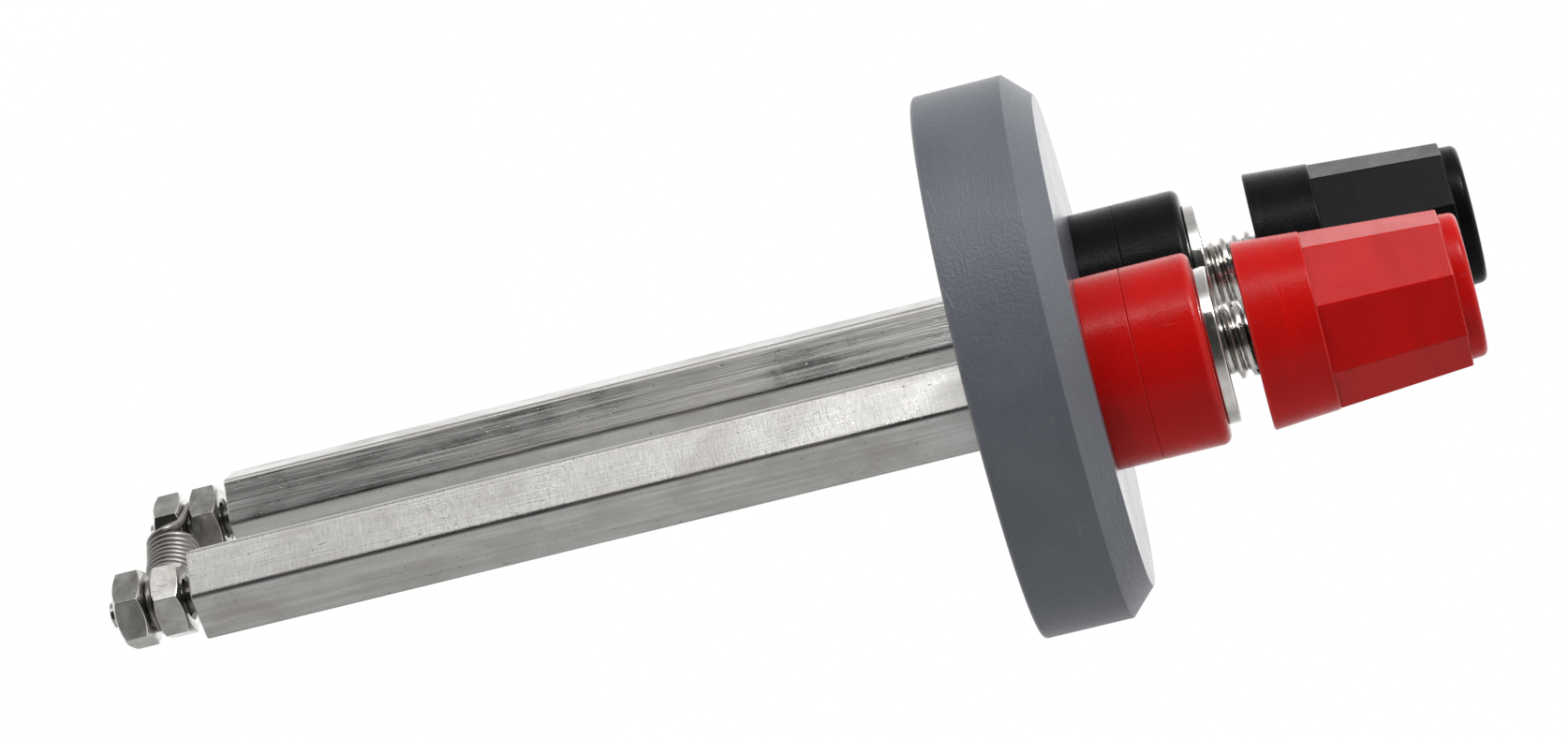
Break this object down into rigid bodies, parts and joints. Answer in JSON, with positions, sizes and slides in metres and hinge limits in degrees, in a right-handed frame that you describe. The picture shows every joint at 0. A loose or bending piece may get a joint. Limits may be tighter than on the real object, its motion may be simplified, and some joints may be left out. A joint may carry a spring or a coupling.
{
  "type": "electrode holder",
  "caption": "Round lid with screw-cap binding posts above and hexagonal conductor bars below, and a wire coil clamped between nuts at the bars' ends.",
  "frame": {"origin": "centre of the lid's flat underside", "axes": "+Z along the lid's axis towards the binding posts; +X from the lid's centre towards the red post"},
  "size_m": [0.044, 0.044, 0.1109],
  "materials": {
    "grey_lid_plastic": "turned grey plastic, fine speckle, satin",
    "red_plastic": "moulded, glossy with soft scuffs",
    "black_plastic": "moulded, glossy with soft scuffs",
    "nickel_plate": "nickel plated, bright turned",
    "bar_steel": "cold drawn bar with fine lengthwise scratches and cross marks",
    "stud_steel": "threaded stainless steel",
    "nut_steel": "stainless steel nut, satin flats",
    "coil_wire": "drawn resistance wire, close wound"
  },
  "bodies": {
    "holder": {"lid": "grey_lid_plastic", "wire_coil": "coil_wire", "red_lower_collar": "red_plastic", "red_upper_collar": "red_plastic", "red_post": "nickel_plate", "red_side_bar": "bar_steel", "red_side_tip_stud": "stud_steel", "black_lower_collar": "black_plastic", "black_upper_collar": "black_plastic", "black_post": "nickel_plate", "black_side_bar": "bar_steel", "black_side_tip_stud": "stud_steel"},
    "red_cap_lifter": {"red_cap_insert": "nickel_plate"},
    "red_cap_screw": {"red_cap": "red_plastic"},
    "red_inner_nut": {"red_side_inner_nut": "nut_steel"},
    "red_outer_nut": {"red_side_outer_nut": "nut_steel"},
    "black_cap_lifter": {"black_cap_insert": "nickel_plate"},
    "black_cap_screw": {"black_cap": "black_plastic"},
    "black_inner_nut": {"black_side_inner_nut": "nut_steel"},
    "black_outer_nut": {"black_side_outer_nut": "nut_steel"}
  },
  "joints": [
    {"name": "red_cap_lift", "type": "slide", "parent": "holder", "child": "red_cap_lifter", "axis": [0, 0, 1], "range_m": [-0.00215, 0.0048]},
    {"name": "red_cap_turn", "type": "hinge", "parent": "red_cap_lifter", "child": "red_cap_screw", "pos_m": [0.0095, 0, 0.0193], "axis": [0, 0, 1], "range_deg": [-779, 1733]},
    {"name": "red_inner_nut_travel", "type": "slide", "parent": "holder", "child": "red_inner_nut", "axis": [0, 0, 1], "range_m": [0, 0.001]},
    {"name": "red_outer_nut_travel", "type": "slide", "parent": "holder", "child": "red_outer_nut", "axis": [0, 0, -1], "range_m": [0, 0.0025]},
    {"name": "black_cap_lift", "type": "slide", "parent": "holder", "child": "black_cap_lifter", "axis": [0, 0, 1], "range_m": [-0.00415, 0.0028]},
    {"name": "black_cap_turn", "type": "hinge", "parent": "black_cap_lifter", "child": "black_cap_screw", "pos_m": [-0.0095, 0, 0.0193], "axis": [0, 0, 1], "range_deg": [-1500, 1013]},
    {"name": "black_inner_nut_travel", "type": "slide", "parent": "holder", "child": "black_inner_nut", "axis": [0, 0, 1], "range_m": [0, 0.001]},
    {"name": "black_outer_nut_travel", "type": "slide", "parent": "holder", "child": "black_outer_nut", "axis": [0, 0, -1], "range_m": [0, 0.0025]}
  ],
  "couplings": [
    {"joint": "red_cap_turn", "follows": "red_cap_lift", "rad_per_m": 6283.2},
    {"joint": "black_cap_turn", "follows": "black_cap_lift", "rad_per_m": 6283.2}
  ]
}
